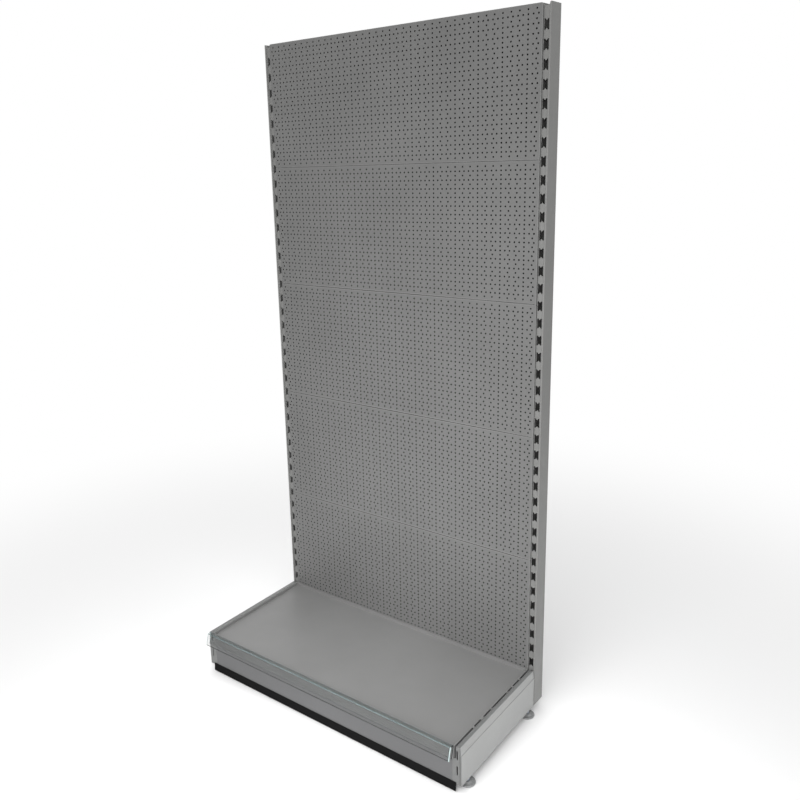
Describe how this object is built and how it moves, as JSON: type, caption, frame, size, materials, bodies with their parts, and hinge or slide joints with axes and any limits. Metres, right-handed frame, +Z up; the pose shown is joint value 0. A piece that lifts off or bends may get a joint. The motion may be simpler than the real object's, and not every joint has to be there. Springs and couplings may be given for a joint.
{
  "type": "gondola shelving unit",
  "caption": "Wall bay of retail gondola shelving: slotted uprights, perforated back panels, base legs on levelling feet, lift-off base shelf with label rail, kick plate with floor skirt.",
  "frame": {"origin": "on the floor, under the middle of the bounding box", "axes": "+Z up, +X to the shopper's right, the shopping front faces -Y"},
  "size_m": [1.056, 0.5362, 2.13],
  "materials": {
    "upright_paint": "mid warm-grey fine-texture powder coat on folded steel",
    "panel_paint": "mid warm-grey fine-texture powder coat on perforated steel sheet",
    "tie_bar_paint": "mid warm-grey powder coat",
    "leg_paint": "mid warm-grey fine-texture powder coat, slightly satin",
    "shelf_paint": "mid warm-grey fine-texture powder coat, satin",
    "rail_plastic": "clear extruded plastic",
    "lens_plastic": "clear extruded plastic, glossy",
    "kick_plate_paint": "mid grey powder coat",
    "skirt_rubber": "black flexible extrusion, matt",
    "spring_steel": "bright spring steel",
    "foot_plastic": "grey moulded plastic",
    "zinc_steel": "bright zinc-plated steel"
  },
  "bodies": {
    "frame": {"upright_left": "upright_paint", "upright_right": "upright_paint", "back_panel_1": "panel_paint", "back_panel_2": "panel_paint", "back_panel_3": "panel_paint", "back_panel_4": "panel_paint", "back_panel_5": "panel_paint", "rear_tie_bar_top": "tie_bar_paint", "rear_tie_bar_bottom": "tie_bar_paint", "base_leg_left": "leg_paint", "base_leg_right": "leg_paint", "kick_clip_left": "spring_steel", "kick_clip_right": "spring_steel", "foot_nut_front_left": "zinc_steel", "foot_nut_front_right": "zinc_steel", "foot_nut_rear_left": "zinc_steel", "foot_nut_rear_right": "zinc_steel", "foot_pad_front_left": "foot_plastic", "foot_pad_front_right": "foot_plastic", "foot_pad_rear_left": "foot_plastic", "foot_pad_rear_right": "foot_plastic"},
    "base_shelf": {"base_shelf": "shelf_paint", "shelf_stiffener": "shelf_paint", "label_rail": "rail_plastic"},
    "label_lens": {"label_lens": "lens_plastic"},
    "kick_plate": {"kick_plate": "kick_plate_paint", "kick_plate_skirt": "skirt_rubber"},
    "foot_stud_front_left": {"foot_stud_front_left": "zinc_steel"},
    "foot_stud_front_right": {"foot_stud_front_right": "zinc_steel"},
    "foot_stud_rear_left": {"foot_stud_rear_left": "zinc_steel"},
    "foot_stud_rear_right": {"foot_stud_rear_right": "zinc_steel"}
  },
  "joints": [
    {"name": "shelf_lift", "type": "slide", "parent": "frame", "child": "base_shelf", "axis": [0, 0, 1], "range_m": [0, 0.15]},
    {"name": "lens_flip", "type": "hinge", "parent": "base_shelf", "child": "label_lens", "pos_m": [0, -0.2569, 0.1506], "axis": [-1, 0, 0], "range_deg": [0, 60]},
    {"name": "kick_plate_pull", "type": "slide", "parent": "frame", "child": "kick_plate", "axis": [0, -1, 0], "range_m": [0, 0.12]},
    {"name": "foot_screw_front_left", "type": "hinge", "parent": "frame", "child": "foot_stud_front_left", "pos_m": [-0.503, -0.1913, 0.0092], "axis": [0, 0, 1], "range_deg": [-2880, 2040]},
    {"name": "foot_screw_front_right", "type": "hinge", "parent": "frame", "child": "foot_stud_front_right", "pos_m": [0.503, -0.1913, 0.0092], "axis": [0, 0, 1], "range_deg": [-2880, 2040]},
    {"name": "foot_screw_rear_left", "type": "hinge", "parent": "frame", "child": "foot_stud_rear_left", "pos_m": [-0.503, 0.1817, 0.0092], "axis": [0, 0, 1], "range_deg": [-2880, 2040]},
    {"name": "foot_screw_rear_right", "type": "hinge", "parent": "frame", "child": "foot_stud_rear_right", "pos_m": [0.503, 0.1817, 0.0092], "axis": [0, 0, 1], "range_deg": [-2880, 2040]}
  ]
}
